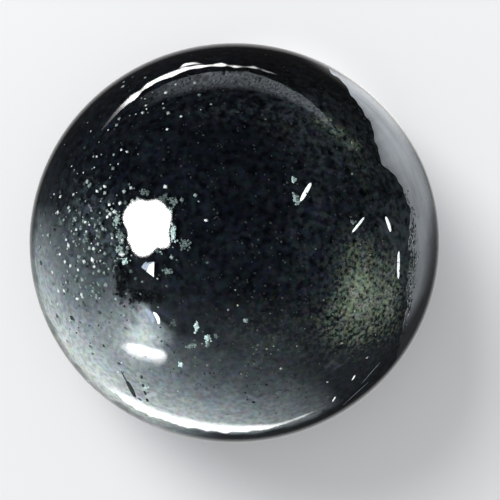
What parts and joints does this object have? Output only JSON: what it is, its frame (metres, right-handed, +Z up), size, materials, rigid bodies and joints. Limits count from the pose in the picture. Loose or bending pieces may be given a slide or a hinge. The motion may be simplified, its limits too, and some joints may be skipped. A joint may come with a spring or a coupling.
{
  "type": "polished scapolite cabochon",
  "caption": "Round polished scapolite cabochon: a high glassy dome, blue-black inside with a clear grey edge, on a rounded back that is ground flat to rest on.",
  "frame": {"origin": "middle of the flat base", "axes": "+Z up through the top of the dome, +X along the girdle's longer width, +Y along its shorter width"},
  "size_m": [0.008, 0.0078, 0.0055],
  "materials": {
    "stone": "high polish, blue-black with a clear grey edge"
  },
  "bodies": {
    "root": {"cabochon": "stone"}
  },
  "joints": []
}
